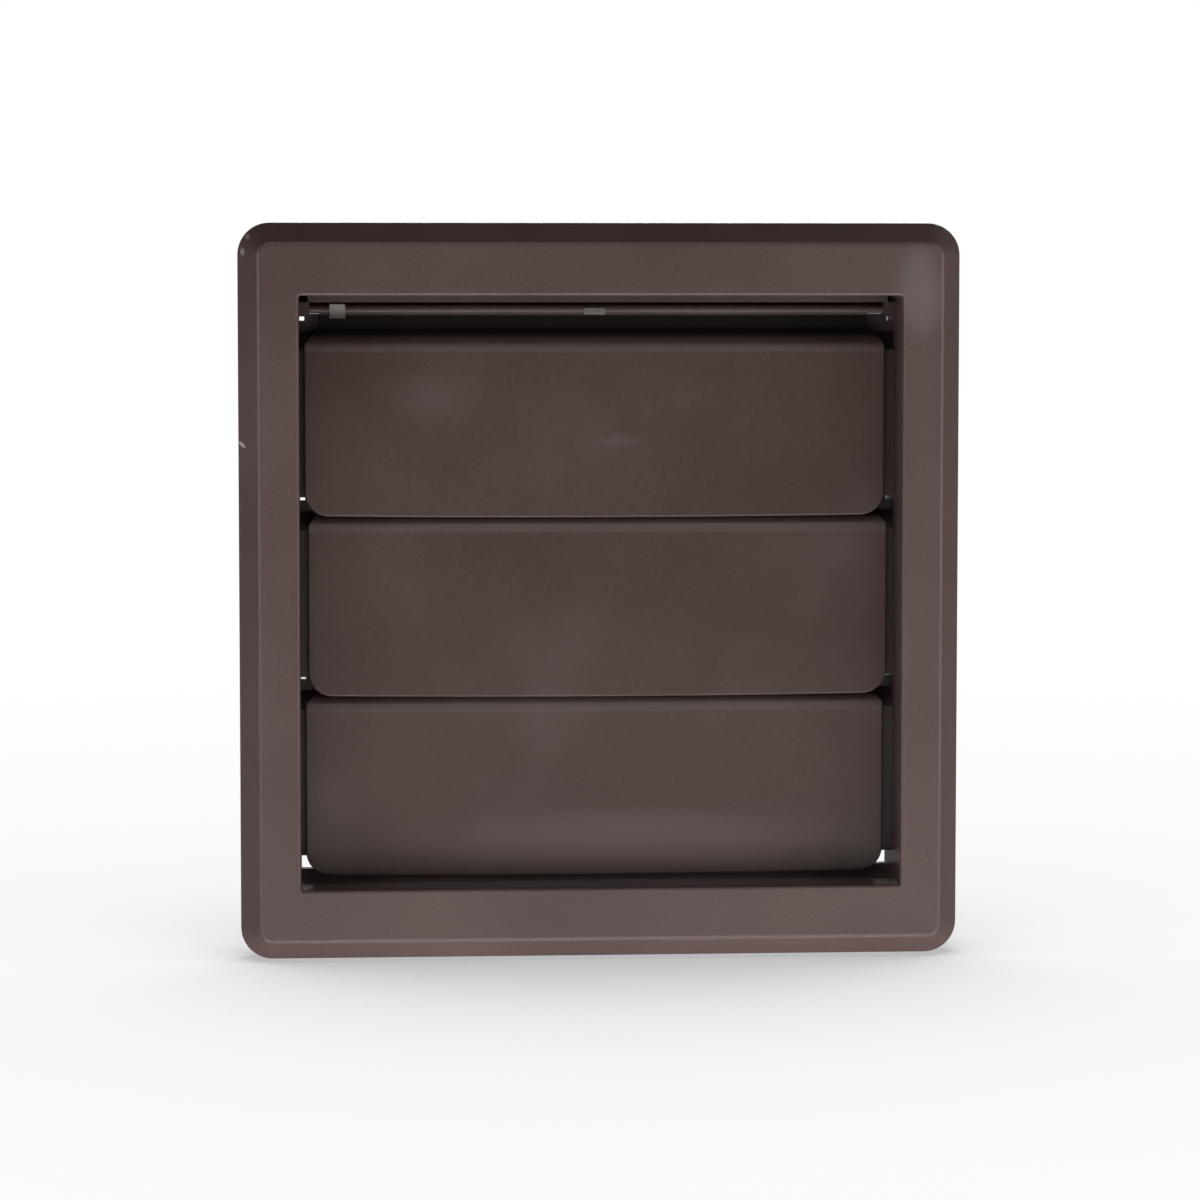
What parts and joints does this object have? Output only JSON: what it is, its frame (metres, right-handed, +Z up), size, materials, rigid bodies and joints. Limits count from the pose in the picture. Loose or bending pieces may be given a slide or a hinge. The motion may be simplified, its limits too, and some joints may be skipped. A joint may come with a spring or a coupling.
{
  "type": "gravity flap vent",
  "caption": "Square plastic wall vent with a bevelled flange, an open square collar and overlapping hinged flaps that air pushes open and gravity closes.",
  "frame": {"origin": "middle of the wall plane, which the rear rim of the flange rests on", "axes": "+X to the right as seen from the front, +Y into the wall, +Z up"},
  "size_m": [0.14, 0.022, 0.1428],
  "materials": {
    "frame_plastic": "satin dark brown moulding",
    "flap_plastic": "satin dark brown moulding"
  },
  "bodies": {
    "frame": {"frame": "frame_plastic"},
    "upper_flap": {"upper_flap": "flap_plastic"},
    "middle_flap": {"middle_flap": "flap_plastic"},
    "lower_flap": {"lower_flap": "flap_plastic"}
  },
  "joints": [
    {"name": "upper_swing", "type": "hinge", "parent": "frame", "child": "upper_flap", "pos_m": [0, 0.0045, 0.0547], "axis": [-1, 0, 0], "range_deg": [0, 75]},
    {"name": "middle_swing", "type": "hinge", "parent": "frame", "child": "middle_flap", "pos_m": [0, 0.0045, 0.0195], "axis": [-1, 0, 0], "range_deg": [0, 75]},
    {"name": "lower_swing", "type": "hinge", "parent": "frame", "child": "lower_flap", "pos_m": [0, 0.0045, -0.0157], "axis": [-1, 0, 0], "range_deg": [0, 75]}
  ],
  "couplings": [
    {"joint": "middle_swing", "follows": "upper_swing", "ratio": 1},
    {"joint": "lower_swing", "follows": "upper_swing", "ratio": 1}
  ]
}
